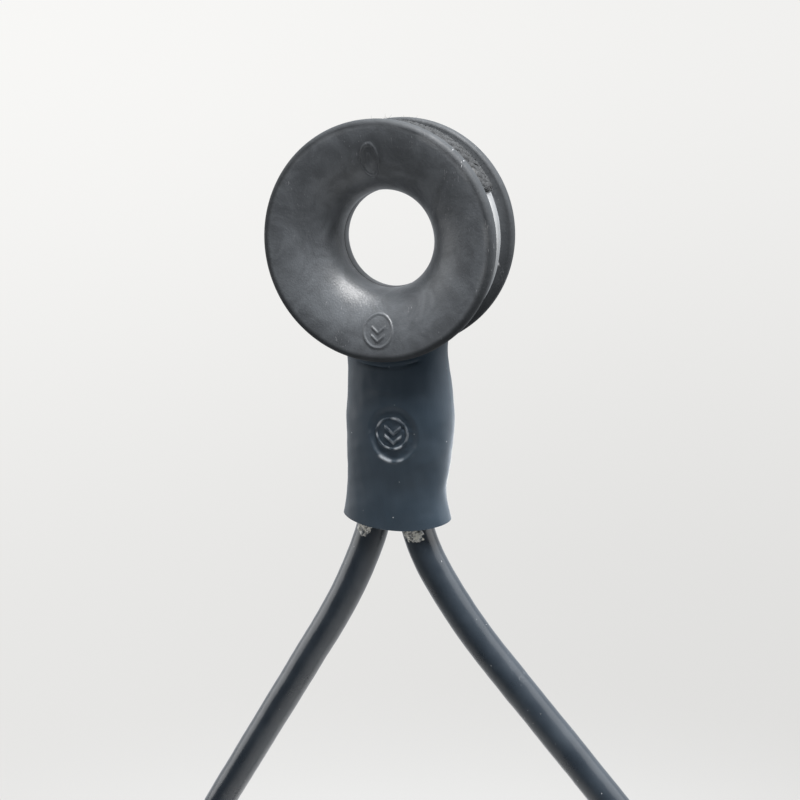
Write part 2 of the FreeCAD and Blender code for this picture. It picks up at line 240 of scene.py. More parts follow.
class Cord:
    """The endless cord's centre line. Distance 0 is the ring's top, and grows down the right leg."""

    def __init__(self):
        right, left = Leg(LOOP_LEAN), Leg(-LOOP_LEAN)
        mirror = np.array([-1.0, 1.0])
        gap = mirror * left.loop_centre - right.loop_centre
        lengths = np.linalg.solve(np.stack([right.direction, -mirror * left.direction], 1), gap)
        self.loop_centre = right.loop_centre + lengths[0] * right.direction
        bottom = arc_run(self.loop_centre, LOOP_R, right.angle, -180.0 - left.angle)
        left_side = (mirror * left.runs(lengths[1]))[::-1]
        corners = np.concatenate([right.runs(lengths[0]), bottom, left_side])
        self.points = self.resampled(corners)
        self.step = self.length / len(self.points)

    def resampled(self, corners):
        """Evenly spaced points, with the curvature steps between arcs softened."""
        closed = np.concatenate([corners, corners[:1]])
        run = np.concatenate([[0.0], np.cumsum(np.linalg.norm(np.diff(closed, axis=0), axis=1))])
        self.length = run[-1]
        count = round(self.length / PATH_STEP)
        at = np.linspace(0.0, self.length, count, endpoint=False)
        points = np.stack([np.interp(at, run, closed[:, k]) for k in (0, 1)], -1)
        waves = np.fft.fftfreq(count, self.length / count)
        soften = np.exp(-0.5 * (2.0 * np.pi * waves * PATH_SOFTENING) ** 2)
        return np.real(np.fft.ifft(np.fft.fft(points, axis=0) * soften[:, None], axis=0))

    def at(self, distance):
        """Centre points (x, z) at distances, wrapping round the loop."""
        place = np.mod(distance, self.length) / self.step
        low = np.floor(place).astype(int)
        share = (place - low)[..., None]
        count = len(self.points)
        return self.points[low % count] * (1.0 - share) + self.points[(low + 1) % count] * share

    def where(self, z, side):
        """Distance of the first point at height z, going down the right side (1) or the left one (-1)."""
        distances = side * np.arange(0.0, self.length / 2, SEARCH_STEP)
        return distances[np.argmax(self.at(distances)[:, 1] < z)]

    def frames(self, distance):
        """Centre points in 3-D, outward normals in the cord's plane, and binormals, at distances."""
        middle = self.at(distance)
        tangent = self.at(distance + TANGENT_REACH) - self.at(distance - TANGENT_REACH)
        tangent /= np.linalg.norm(tangent, axis=-1, keepdims=True)
        zero = np.zeros(len(middle))
        centre = np.stack([middle[:, 0], zero, middle[:, 1]], -1)
        normal = np.stack([-tangent[:, 1], zero, tangent[:, 0]], -1)
        return centre, normal, np.array([0.0, 1.0, 0.0])

    def surface(self, distance, angle, radius):
        """Points round the cord: angle 0 faces out of the eye and the loop, and 90 faces the rear."""
        centre, normal, rear = self.frames(distance)
        out = normal[:, None, :] * cosd(angle)[..., None] + rear * sind(angle)[..., None]
        return centre[:, None, :] + out * radius[..., None]


CORD = Cord()


def stations(start, end, step):
    """Evenly spaced distances from start to end, about a step apart."""
    count = max(2, round(abs(end - start) / step) + 1)
    return np.linspace(start, end, count)


def round_angles(sides):
    return np.linspace(0.0, 360.0, sides, endpoint=False)


# ------------------------------------------------------------------------------ materials


class Material:
    """A node material with short calls for the nodes used here. Textures run on object coordinates."""

    def __init__(self, name):
        self.material = bpy.data.materials.new(name)
        self.material.use_nodes = True
        self.tree = self.material.node_tree
        self.shader = self.tree.nodes["Principled BSDF"]
        self.place = self.tree.nodes.new("ShaderNodeTexCoord").outputs["Object"]

    def feed(self, socket, value):
        if isinstance(value, bpy.types.NodeSocket):
            self.tree.links.new(value, socket)
        elif isinstance(value, tuple) and socket.type == "RGBA" and len(value) == 3:
            socket.default_value = (*value, 1.0)
        else:
            socket.default_value = value

    def set(self, **values):
        """Sets inputs of the surface shader; an underscore in a name stands for a space."""
        for name, value in values.items():
            self.feed(self.shader.inputs[name.replace("_", " ")], value)
        return self

    def math(self, operation, first, second=0.0, third=0.0):
        node = self.tree.nodes.new("ShaderNodeMath")
        node.operation = operation
        for socket, value in zip(node.inputs, (first, second, third)):
            self.feed(socket, value)
        return node.outputs[0]

    def noise(self, size_mm, detail=3.0, roughness=0.55, stretch=(1.0, 1.0, 1.0), distortion=0.0):
        """Noise of 0 to 1 with features of about size_mm, stretched along the axes."""
        mapping = self.tree.nodes.new("ShaderNodeMapping")
        self.feed(mapping.inputs["Vector"], self.place)
        mapping.inputs["Scale"].default_value = [1.0 / (size_mm * MM * share) for share in stretch]
        node = self.tree.nodes.new("ShaderNodeTexNoise")
        self.feed(node.inputs["Vector"], mapping.outputs[0])
        node.inputs["Scale"].default_value = 1.0
        node.inputs["Detail"].default_value = detail
        node.inputs["Roughness"].default_value = roughness
        node.inputs["Distortion"].default_value = distortion
        return node.outputs["Fac"]

    def cells(self, size_mm, randomness=1.0):
        """Distance to the nearest of scattered points, in cells of size_mm."""
        mapping = self.tree.nodes.new("ShaderNodeMapping")
        self.feed(mapping.inputs["Vector"], self.place)
        mapping.inputs["Scale"].default_value = [1.0 / (size_mm * MM)] * 3
        node = self.tree.nodes.new("ShaderNodeTexVoronoi")
        self.feed(node.inputs["Vector"], mapping.outputs[0])
        node.inputs["Scale"].default_value = 1.0
        node.inputs["Randomness"].default_value = randomness
        return node.outputs["Distance"]

    def attribute(self, name):
        node = self.tree.nodes.new("ShaderNodeAttribute")
        node.attribute_name = name
        return node.outputs["Fac"]

    def between(self, value, low, high, to_low=0.0, to_high=1.0):
        """Maps value from low..high onto to_low..to_high, smoothly and clamped."""
        node = self.tree.nodes.new("ShaderNodeMapRange")
        node.interpolation_type = "SMOOTHSTEP"
        inputs = {"Value": value, "From Min": low, "From Max": high, "To Min": to_low, "To Max": to_high}
        for name, amount in inputs.items():
            self.feed(node.inputs[name], amount)
        return node.outputs["Result"]

    def mix(self, share, first, second):
        node = self.tree.nodes.new("ShaderNodeMix")
        node.data_type = "RGBA"
        self.feed(node.inputs["Factor"], share)
        self.feed(node.inputs[6], first)
        self.feed(node.inputs[7], second)
        return node.outputs[2]

    def bump(self, height, depth_mm, normal=None):
        """Bump of depth_mm for a height of 0 to 1."""
        node = self.tree.nodes.new("ShaderNodeBump")
        node.inputs["Distance"].default_value = depth_mm * MM
        self.feed(node.inputs["Height"], height)
        if normal is not None:
            self.feed(node.inputs["Normal"], normal)
        return node.outputs["Normal"]


RING_DARK = (0.036, 0.039, 0.043)
RING_PALE = (0.066, 0.071, 0.077)
RING_SPECKLE = (0.13, 0.135, 0.14)
RING_RIM_SHADE = (0.013, 0.0145, 0.016)
RING_WEAR_AND_HIGHLIGHT = (0.10, 0.103, 0.106)
RING_SCRATCH = (0.35, 0.35, 0.36)
RING_GRIME = (0.004, 0.004, 0.005)


def ring_material():
    """Matte moulded polymer: mottled, dusty, speckled and finely scratched. The lip's crest is lighter, partly
    from wear and partly as a painted highlight that is strongest on the upper right; the rim outside the dish is
    painted near-black as shade.
    """
    m = Material("ring_polymer")
    mottle = m.noise(6.0, 5.0, 0.62, distortion=0.8)
    grain = m.noise(0.4, 3.0, 0.65)
    colour = m.mix(m.between(mottle, 0.33, 0.68), RING_DARK, RING_PALE)
    speckle = m.math("MULTIPLY", m.between(grain, 0.58, 0.78), m.between(m.noise(3.5, 3.0), 0.38, 0.62))
    colour = m.mix(m.math("MULTIPLY", speckle, 0.45), colour, RING_SPECKLE)
    rim = m.attribute("rim")
    # the flange's outer rim and the top of the groove's walls are painted near-black: painted shade
    colour = m.mix(m.math("MULTIPLY", rim, 0.8), colour, RING_RIM_SHADE)
    # the lip's crest is mixed towards a lighter grey: partly wear, partly a painted highlight that is strongest on
    # the upper right
    wear_and_highlight = m.math("MULTIPLY", m.attribute("wear_and_highlight"), m.between(grain, 0.25, 0.7, 0.35, 1.0))
    colour = m.mix(wear_and_highlight, colour, RING_WEAR_AND_HIGHLIGHT)
    scratch = m.noise(1.0, 1.0, 0.4, stretch=(0.16, 3.0, 1.6), distortion=1.2)
    scratch = m.math("MULTIPLY", m.between(scratch, 0.73, 0.77), m.between(m.noise(9.0), 0.52, 0.6))
    colour = m.mix(m.math("MULTIPLY", scratch, 0.7), colour, RING_SCRATCH)
    colour = m.mix(m.attribute("grime"), colour, RING_GRIME)
    roughness = m.math("ADD", m.between(mottle, 0.3, 0.75, 0.42, 0.32), m.math("MULTIPLY", grain, 0.10))
    roughness = m.math("ADD", roughness, m.math("MULTIPLY", rim, 0.22))
    shine = m.between(rim, 0.0, 1.0, 0.5, 0.16)
    normal = m.bump(grain, 0.03)
    normal = m.bump(m.noise(1.6, 3.0), 0.05, normal)
    m.set(Base_Color=colour, Roughness=roughness, Specular_IOR_Level=shine, Normal=normal)
    return m.material


SLEEVE_DARK = (0.010, 0.019, 0.029)
SLEEVE_PALE = (0.015, 0.025, 0.036)
SLEEVE_DUST = (0.45, 0.46, 0.47)
SLEEVE_POLISH_AND_HIGHLIGHT = (0.19, 0.205, 0.22)


def sleeve_material():
    """Satin heat-shrink: blue-charcoal, with faint drawn streaks and dust. The stamp's raised marks are lighter,
    partly polish and partly a painted highlight, and its lower edge is a painted highlight.
    """
    m = Material("heat_shrink")
    streaks = m.noise(1.1, 4.0, 0.6, stretch=(1.0, 1.0, 9.0))
    cloud = m.noise(6.0, 3.0)
    colour = m.mix(m.between(cloud, 0.3, 0.7), SLEEVE_DARK, SLEEVE_PALE)
    dust = m.between(m.cells(2.6), 0.075, 0.04)
    dust = m.math("MULTIPLY", dust, m.between(m.noise(5.0), 0.44, 0.56))
    colour = m.mix(m.math("MULTIPLY", dust, 0.7), colour, SLEEVE_DUST)
    # the stamp's raised marks are painted lighter (partly polish, partly a painted highlight) and its lower edge
    # is a painted highlight
    colour = m.mix(m.math("MULTIPLY", m.attribute("wear_and_highlight"), 0.9), colour, SLEEVE_POLISH_AND_HIGHLIGHT)
    roughness = m.math("ADD", m.between(cloud, 0.3, 0.7, 0.48, 0.56), m.math("MULTIPLY", streaks, 0.08))
    normal = m.bump(streaks, 0.02)
    normal = m.bump(m.noise(0.35, 3.0), 0.014, normal)
    m.set(Base_Color=colour, Roughness=roughness, Specular_IOR_Level=0.42, Normal=normal)
    m.set(Sheen_Weight=0.2, Sheen_Roughness=0.45, Sheen_Tint=(0.86, 0.93, 1.0))
    return m.material


TUBE_DARK = (0.010, 0.014, 0.019)
TUBE_PALE = (0.015, 0.020, 0.026)
TUBE_SCUFF = (0.12, 0.13, 0.14)
TUBE_GROOVE_REFLECTION = (0.44, 0.44, 0.435)
TUBE_DUST = (0.5, 0.5, 0.5)


def tube_material():
    """Glossy extruded tube: blue-black, with faint draw lines, a few scuffs, specks of dust, and a pale painted
    reflection where it runs in the ring's groove.
    """
    m = Material("glossy_tube")
    cloud = m.noise(9.0, 3.0)
    colour = m.mix(m.between(cloud, 0.3, 0.7), TUBE_DARK, TUBE_PALE)
    scuff = m.between(m.noise(1.2, 5.0, 0.7, distortion=1.0), 0.60, 0.70)
    scuff = m.math("MULTIPLY", scuff, m.between(m.noise(12.0), 0.5, 0.65))
    rub_and_reflection = m.attribute("wear_and_highlight")
    colour = m.mix(m.math("MULTIPLY", scuff, 0.25), colour, TUBE_SCUFF)
    # where the tube runs in the ring's groove it is painted pale grey: a painted reflection of the bright surround
    colour = m.mix(rub_and_reflection, colour, TUBE_GROOVE_REFLECTION)
    dust = m.between(m.cells(2.2), 0.06, 0.03)
    colour = m.mix(m.math("MULTIPLY", dust, 0.5), colour, TUBE_DUST)
    roughness = m.math("ADD", m.between(cloud, 0.3, 0.7, 0.27, 0.34), m.math("MULTIPLY", scuff, 0.2))
    roughness = m.math("ADD", roughness, m.math("MULTIPLY", rub_and_reflection, 0.3))
    normal = m.bump(m.noise(0.5, 3.0), 0.006)
    normal = m.bump(m.noise(3.5, 2.0), 0.05, normal)
    m.set(Base_Color=colour, Roughness=roughness, Normal=normal)
    m.set(Coat_Weight=0.35, Coat_Roughness=0.12, Coat_IOR=1.45)
    return m.material


YARN_HIGHLIGHT_BAND = (0.040, 0.0405, 0.041)


def yarn_material(name, dark, light, twist_mm, roughness=0.75):
    """Braided or twisted yarn: fine fibres, uneven colour and hardly any shine. Where marked, it is painted
    lighter as a highlight.
    """
    m = Material(name)
    fibres = m.noise(twist_mm, 4.0, 0.7, distortion=2.0)
    cloud = m.noise(3.0, 3.0)
    colour = m.mix(m.between(fibres, 0.35, 0.68), dark, light)
    colour = m.mix(m.math("MULTIPLY", m.between(cloud, 0.45, 0.75), 0.5), colour, dark)
    # painted highlight: lighter where the braid's front edge meets the front flange on the right
    colour = m.mix(m.attribute("painted_highlight"), colour, YARN_HIGHLIGHT_BAND)
    normal = m.bump(fibres, 0.06)
    m.set(Base_Color=colour, Roughness=roughness, Specular_IOR_Level=0.16, Normal=normal)
    m.set(Sheen_Weight=0.03, Sheen_Roughness=0.4)
    return m.material


GLUE_CLEAR = (0.06, 0.065, 0.07)
GLUE_CLOUDY = (0.47, 0.46, 0.41)


def adhesive_material():
    """Cloudy hot-melt: pale, waxy and lumpy."""
    m = Material("hot_melt")
    cloud = m.noise(0.9, 5.0, 0.65, distortion=0.8)
    colour = m.mix(m.between(cloud, 0.35, 0.65), GLUE_CLEAR, GLUE_CLOUDY)
    normal = m.bump(m.noise(0.4, 4.0), 0.12)
    m.set(Base_Color=colour, Roughness=m.between(cloud, 0.3, 0.7, 0.22, 0.5), Normal=normal)
    m.set(Subsurface_Weight=0.25, Subsurface_Radius=(0.0015, 0.0014, 0.0012), Coat_Weight=0.4)
    return m.material


RING = ring_material()
SLEEVE = sleeve_material()
TUBE = tube_material()
BRAID = yarn_material("chafe_braid", (0.005, 0.0055, 0.006), (0.032, 0.034, 0.036), 0.22)
CORE = yarn_material("core_yarn", (0.03, 0.03, 0.032), (0.13, 0.13, 0.135), 0.4)
TWINE = yarn_material("waxed_twine", (0.02, 0.02, 0.022), (0.09, 0.09, 0.095), 0.25, 0.5)
GLUE = adhesive_material()


def mark_points(obj, name, values):
    """Stores one number per point for a material to read."""
    layer = obj.data.attributes.new(name, "FLOAT", "POINT")
    layer.data.foreach_set("value", values.astype(np.float32).ravel())


# ----------------------------------------------------------------------------------- ring

DISH_END_R = RING_R - LIP_ROUND - LIP_FLAT
DISH_ACROSS = DISH_END_R - THROAT_R
DISH_DEEP = RING_HALF_WIDTH - THROAT_LAND / 2
MARK_HEIGHT = 0.15
MARK_STROKE = 0.42
FAR_OFF = 9.0
# raised signs: places, and half widths and half heights of their parts
TOP_SIGN = (-1.0, 15.8)
ROPE_OVAL = (1.7, 3.0)
ROPE_CORE = (0.5, 1.4)
BOTTOM_SIGN = (0.15, -17.2)
LOAD_OVAL = (2.9, 3.2)
LOAD_CHEVRON = (1.4, 1.2)
LOAD_CHEVRON_DROPS = (0.4, 2.0)
DISH_WAVINESS = 0.02
# the dish's relief fades in over this many points from the lip
FADE_IN_POINTS = 6.0
# wear and a painted highlight on the lip's crest, painted shade on the rim outside the dish, and grime along the
# parting line
CREST_R = DISH_END_R + 0.3
CREST_HALF_WIDTH = 0.4
CREST_DEPTH = 1.0
RIM_SHADE_FADE = 0.8
GRIME_REACH = 1.0
GRIME_FADE = (0.10, 0.32)
# steps round the ring in degrees, with the fine ones across the signs
FINE_STEP = 0.45
COARSE_STEP = 1.5
SIGN_HALF_ANGLE = 15.0


def curve_in(centre, radius, start, end, count):
    """Arc of the half profile as (r, y)."""
    return on_circle(centre, radius, np.linspace(start, end, count))


def half_profile(socket):
    """Closed outline (r, y) of one half, its face at -y, and how many of its points are dish."""
    face_y = -RING_HALF_WIDTH
    t = np.linspace(0.0, 90.0, DISH_POINTS)
    dish = np.stack([DISH_END_R - DISH_ACROSS * cosd(t), -THROAT_LAND / 2 - DISH_DEEP * sind(t)], -1)
    lip = curve_in((RING_R - LIP_ROUND, face_y + LIP_ROUND), LIP_ROUND, -90.0, 0.0, LIP_POINTS)
    inner_centre = (RING_R - RIM_INNER_ROUND, face_y + FLANGE_THICKNESS - RIM_INNER_ROUND)
    inner = curve_in(inner_centre, RIM_INNER_ROUND, 0.0, 90.0, RIM_INNER_POINTS)
    to_edge = inner[-1] - np.array([EYE_R, 0.0])
    tangent = math.degrees(math.atan2(to_edge[1], to_edge[0]) - math.acos(GROOVE_R / np.hypot(*to_edge)))
    groove = curve_in((EYE_R, 0.0), GROOVE_R, tangent, -180.0, GROOVE_POINTS)
    parting_centre = (THROAT_R + PARTING_ROUND, -PARTING_ROUND)
    parting = curve_in(parting_centre, PARTING_ROUND, 90.0, 180.0, PARTING_POINTS)
    low, high = SPIGOT_R
    if socket:
        low, high, depth = low - SPIGOT_PLAY, high + SPIGOT_PLAY, -SPIGOT_LENGTH - SPIGOT_PLAY
    else:
        depth = SPIGOT_LENGTH
    spigot = np.array([(high, 0.0), (high, depth), (low, depth), (low, 0.0)])
    outline = np.concatenate([dish, lip[1:], inner, groove[1:], spigot, parting])
    return outline, len(dish)


def oval(x, z, half_width, half_height):
    """Signed distance to an oval, near enough for a thin line."""
    reach = np.hypot(x / half_width, z / half_height)
    return (reach - 1.0) * min(half_width, half_height)


def line_of(distance, stroke=MARK_STROKE):
    """A raised line of that width along distance 0."""
    return 1.0 - smoothstep(stroke * 0.28, stroke * 0.62, np.abs(distance))


def bent_line(x, z, half_width, rise):
    """Distance to a chevron that points down."""
    slope = rise / half_width
    off = (z - slope * np.abs(x)) / math.hypot(1.0, slope)
    return np.where(np.abs(x) < half_width, off, FAR_OFF)


def sign_height(x, z):
    """Raised signs: a rope-section oval at the top and a load arrow at the bottom. Both are generic."""
    tx, tz = x - TOP_SIGN[0], z - TOP_SIGN[1]
    bx, bz = x - BOTTOM_SIGN[0], z - BOTTOM_SIGN[1]
    marks = [
        line_of(oval(tx, tz, *ROPE_OVAL)),
        1.0 - smoothstep(-0.1, 0.12, oval(tx, tz, *ROPE_CORE)),
        line_of(oval(bx, bz, *LOAD_OVAL)),
    ]
    marks += [line_of(bent_line(bx, bz + drop, *LOAD_CHEVRON)) for drop in LOAD_CHEVRON_DROPS]
    return MARK_HEIGHT * np.maximum.reduce(marks)


def ring_angles():
    """Angles of the ring's sections, closer together at the top and the bottom, where the signs are."""
    angles = [-180.0]
    while angles[-1] < 180.0 - COARSE_STEP:
        off_sign = abs(abs(angles[-1]) - 90.0)
        angles.append(angles[-1] + (FINE_STEP if off_sign < SIGN_HALF_ANGLE else COARSE_STEP))
    return np.array(angles)


def ring_half(name, side):
    """One moulding of the ring. side is -1 for the front half and 1 for the rear one."""
    outline, dish_count = half_profile(socket=side > 0)
    angles = ring_angles()
    r, y = outline[:, 0][:, None], outline[:, 1][:, None]
    direction_x, direction_z = cosd(angles)[None, :], sind(angles)[None, :]
    grid = np.stack([r * direction_x, y + 0.0 * direction_x, r * direction_z], -1)
    slope = np.gradient(outline[:dish_count], axis=0)
    normal = np.stack([-slope[:, 1], slope[:, 0]], -1)
    normal /= -np.linalg.norm(normal, axis=1, keepdims=True)
    dish = grid[:dish_count]
    height = sign_height(dish[..., 0], dish[..., 2]) + DISH_WAVINESS * ripples(dish, 6.0, 11)
    fade = smoothstep(0.0, FADE_IN_POINTS, np.arange(dish_count))[:, None]
    dish[..., 0] += height * fade * normal[:, 0][:, None] * direction_x
    dish[..., 1] += height * fade * normal[:, 1][:, None]
    dish[..., 2] += height * fade * normal[:, 0][:, None] * direction_z
    if side > 0:
        grid[..., 0] *= -1.0
        grid[..., 1] *= -1.0
    obj = Shape().sheet(grid, wrap_rows=True, wrap_columns=True).piece(name, RING)
    radius = np.hypot(grid[..., 0], grid[..., 2])
    on_face = np.abs(grid[..., 1]) > RING_HALF_WIDTH - CREST_DEPTH
    crest = np.exp(-(((radius - CREST_R) / CREST_HALF_WIDTH) ** 2)) * on_face
    patchy = smoothstep(-0.9, 1.1, ripples(grid, 7.0, 21))
    # the crest is painted lighter mostly on the upper right, where the top light catches it: a painted highlight
    # over light wear
    lit_upper_right = smoothstep(-0.1, 0.7, (grid[..., 0] + 1.4 * grid[..., 2]) / (1.7 * radius))
    mark_points(obj, "wear_and_highlight", crest * patchy * (0.08 + 0.92 * lit_upper_right))
    # marks the rim outside the dish for painted shade; it is also rougher and less shiny there
    mark_points(obj, "rim", smoothstep(DISH_END_R, DISH_END_R + RIM_SHADE_FADE, radius))
    in_throat = radius < THROAT_R + GRIME_REACH
    mark_points(obj, "grime", (1.0 - smoothstep(*GRIME_FADE, np.abs(grid[..., 1]))) * in_throat)
    return obj


def build_ring():
    for name, side in (("ring_front_half", -1), ("ring_rear_half", 1)):
        obj = ring_half("front_ring" if side < 0 else "rear_ring", side)
        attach(obj, "ring")
        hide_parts(name)


# ------------------------------------------------------------------------- tubes and cores

ROOT_SEAM_Z = -74.0
SWAY_BLEND_Z = (-64.5, -73.0)
SWING_BLEND_Z = (-75.0, 2 * SWING_Z + 75.0)
TUBE_JOINT_Z = (-42.0, -32.0)
TUBE_SIDES = 44
CORE_SIDES = 24
CORE_STRANDS = 8
CORE_WEAVE_RATE = 1.2
CORE_SINK = 0.12
CORE_WEAVE_DEPTH = 0.1
SKIN_GAP = 0.01
SWELL_SINK = 0.03
# the tube is rougher and painted pale on the ring (a painted reflection), between these heights; each pair is
# where that starts and where it is full
ON_RING_R = (24.0, 19.0)
RUB_AND_REFLECTION_BOTTOM_Z = (-13.0, -4.0)
RUB_AND_REFLECTION_TOP_Z = (18.0, 9.0)


def tube_surface(distance, inner_r):
    """Outer and inner surface of the tube, as one closed grid."""
    angle = round_angles(TUBE_SIDES)[None, :] + np.zeros((len(distance), 1))
    plain = np.full(angle.shape, TUBE_R)
    outer = CORD.surface(distance, angle, plain)
    swell = 0.018 * ripples(outer, 4.2, 31) + 0.02 * ripples(outer, 11.0, 32)
    outer = CORD.surface(distance, angle, plain + swell - SWELL_SINK)
    inner = CORD.surface(distance, angle, np.full(angle.shape, inner_r))
    return np.concatenate([outer, inner[::-1]])


def finish_cord_piece(obj, nodes):
    """Bakes the piece's placement into its mesh and hides the CAD nodes that it stands for."""
    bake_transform(obj)
    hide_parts(*nodes)


def tube_piece(name, start, end, nodes, body_a, body_b, levels):
    """A stretch of tube, rougher where it runs in the ring's groove and painted pale there as a reflection."""
    distance = stations(start, end, PATH_STEP)
    grid = tube_surface(distance, CORE_R + SKIN_GAP)
    obj = Shape().sheet(grid, wrap_rows=True, wrap_columns=True).piece(name, TUBE)
    x, z = grid[..., 0], grid[..., 2]
    on_ring = smoothstep(*ON_RING_R, np.hypot(x, z))
    # marks the band in the groove that is rougher and carries the painted reflection
    mark_points(obj, "wear_and_highlight", on_ring * smoothstep(*RUB_AND_REFLECTION_BOTTOM_Z, z) * smoothstep(*RUB_AND_REFLECTION_TOP_Z, z))
    finish_cord_piece(obj, nodes)


def core_piece(name, start, end, nodes, body_a, body_b, levels):
    """The braided core, drawn with a coarse diamond relief."""
    distance = stations(start, end, PATH_STEP)
    angle = round_angles(CORE_SIDES)[None, :] + np.zeros((len(distance), 1))
    turn = np.radians(angle * CORE_STRANDS)
    climb = distance[:, None] * CORE_WEAVE_RATE
    weave = np.cos(turn + climb) * np.cos(turn - climb)
    grid = CORD.surface(distance, angle, CORE_R - CORE_SINK + CORE_WEAVE_DEPTH * weave)
    obj = Shape().bar(grid).piece(name, CORE)
    finish_cord_piece(obj, nodes)


def build_cord():
    right_seam, left_seam = CORD.where(ROOT_SEAM_Z, 1), CORD.where(ROOT_SEAM_Z, -1)
    left_top, left_joint = CORD.where(TUBE_JOINT_Z[1], -1), CORD.where(TUBE_JOINT_Z[0], -1)
    loop_end = CORD.length + left_seam
    sway = ("neck", "leg_roots", SWAY_BLEND_Z)
    swing = ("leg_roots", "hand_loop", SWING_BLEND_Z)
    tube_piece("eye_tube_skin", right_seam, left_top, ["eye_tube", "right_root_tube"], *sway)
    tube_piece("left_tube_skin", left_joint, left_seam, ["left_tube_end", "left_root_tube"], *sway)
    tube_piece("loop_tube_skin", right_seam, loop_end, ["loop_tube"], *swing)
    eye_cores = ["eye_core", "left_root_core", "right_root_core"]
    core_piece("eye_core_braid", right_seam, left_seam, eye_cores, *sway)
    core_piece("loop_core_braid", right_seam, loop_end, ["loop_core"], *swing)


# --------------------------------------------------------------------------- chafe sleeve

BRAID_SEED = 5
BRAID_STRANDS = 14
BRAID_PITCH = 26.0
STRAND_HALF_WIDTH = 0.66
STRAND_HALF_THICKNESS = 0.26
BRAID_LIFT = 0.17
STRAND_STEP = 0.33
STRAND_SIDES = 8
CHAFE_START_ANGLE = 25.0
STRAND_CLEARANCE = 0.05
STRAND_END_GAP = 0.5
MELTED_LENGTH = 1.4
FIBRES = 1300
FIBRE_LENGTHS = (0.3, 0.95)
FIBRE_R = 0.032
FIBRE_ROOT_DEPTH = 0.25
# fibres stand off round this angle of the cord, with this spread; 0 faces out of the groove and 90 the rear
FIBRE_ANGLES = (26.0, 44.0)
# the braid is painted lighter on its front edge, past these angles, and on the right, past these x: a painted
# highlight along the front flange
HIGHLIGHT_ANGLES = (-42.0, -58.0)
HIGHLIGHT_X = (3.0, 10.0)


def braid_strand(shape, number, hand, start, end, draw):
    """One flat yarn of the braid, passing over and under the yarns of the other hand."""
    distance = np.arange(start, end, STRAND_STEP)
    turn = 360.0 / BRAID_PITCH
    angle = 360.0 * number / BRAID_STRANDS + hand * turn * distance + draw.uniform(-2.0, 2.0)
    middle_r = CHAFE_R - STRAND_HALF_THICKNESS - BRAID_LIFT - STRAND_CLEARANCE
    weave = np.cos(np.radians(BRAID_STRANDS * turn) * distance)
    radius = middle_r + hand * BRAID_LIFT * weave + 0.05 * draw.normal() * np.sin(distance * 0.7 + number)
    around = round_angles(STRAND_SIDES)
    spine = CORD.surface(distance, angle[:, None], radius[:, None])[:, 0]
    along = np.gradient(spine, axis=0)
    along /= np.linalg.norm(along, axis=1, keepdims=True)
    out = spine - CORD.frames(distance)[0]
    out -= along * np.sum(out * along, axis=1, keepdims=True)
    out /= np.linalg.norm(out, axis=1, keepdims=True)
    across = np.cross(along, out)
    width = STRAND_HALF_WIDTH * (1.0 + 0.12 * np.sin(distance * 2.3 + number))
    section = across[:, None, :] * (width[:, None] * cosd(around))[..., None]
    section = section + out[:, None, :] * (STRAND_HALF_THICKNESS * sind(around))[None, :, None]
    shape.bar(spine[:, None, :] + section)


def loose_fibres(shape, start, end, draw):
    """Short broken fibres that stand off the braid where it faces out of the groove."""
    for _ in range(FIBRES):
        distance = draw.uniform(start, end)
        angle = draw.normal(*FIBRE_ANGLES)
        length = draw.uniform(*FIBRE_LENGTHS)
        lean = draw.normal(size=3) * 0.9
        at = np.array([distance])
        root = CORD.surface(at, np.array([[angle]]), np.array([[CHAFE_R - FIBRE_ROOT_DEPTH]]))[0, 0]
        centre = CORD.frames(at)[0][0]
        out = (root - centre) / np.linalg.norm(root - centre)
        share = np.linspace(0.0, 1.0, 4)[:, None]
        spine = root + out * length * share * 0.7 + lean * length * share**2 * 0.6
        side = np.cross(out, draw.normal(size=3))
        side /= np.linalg.norm(side)
        other = np.cross(out, side)
        thick = FIBRE_R * (1.0 - 0.7 * share)
        corners = [spine + thick * (side * cosd(a) + other * sind(a)) for a in (0.0, 120.0, 240.0)]
        shape.bar(np.stack(corners, 1))


def melted_end(shape, start, end, seed):
    """Heat-sealed end of the braid: a lumpy band on the tube."""
    rows, sides = 9, 40
    distance = np.linspace(start, end, rows)
    angle = round_angles(sides)[None, :] + np.zeros((rows, 1))
    plain = CORD.surface(distance, angle, np.full(angle.shape, CHAFE_R))
    swell = 0.16 * ripples(plain, 1.9, seed) + 0.1 * ripples(plain, 0.9, seed + 1)
    taper = np.sin(np.linspace(0.25, 0.85, rows) * np.pi)[:, None]
    outer = CORD.surface(distance, angle, TUBE_R + 0.08 + (CHAFE_R - TUBE_R - 0.22 + swell) * taper)
    inner = CORD.surface(distance, angle, np.full(angle.shape, TUBE_R + 0.02))
    shape.sheet(np.concatenate([outer, inner[::-1]]), wrap_rows=True, wrap_columns=True)


def build_chafe_sleeve():
    draw = np.random.default_rng(BRAID_SEED)
    half = math.radians(90.0 - CHAFE_START_ANGLE) * EYE_R
    shape = Shape()
    for hand in (1, -1):
        for number in range(BRAID_STRANDS):
            braid_strand(shape, number, hand, -half + STRAND_END_GAP, half - STRAND_END_GAP, draw)
    melted_end(shape, half - MELTED_LENGTH, half, 41)
    melted_end(shape, -half, -half + MELTED_LENGTH, 43)
    loose_fibres(shape, -half, half, draw)
    obj = shape.piece("chafe_braid_cover", BRAID, 80.0)
    points = np.concatenate(shape.points)
    off_cord = np.degrees(np.arctan2(points[:, 1], np.hypot(points[:, 0], points[:, 2]) - EYE_R))
    # a painted highlight band on the braid's front edge, on the right
    highlight_band = smoothstep(*HIGHLIGHT_ANGLES, off_cord + 12.0 * ripples(points, 5.0, 45))
    mark_points(obj, "painted_highlight", highlight_band * smoothstep(*HIGHLIGHT_X, points[:, 0]))
    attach(obj, "neck")
    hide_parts("chafe_sleeve")


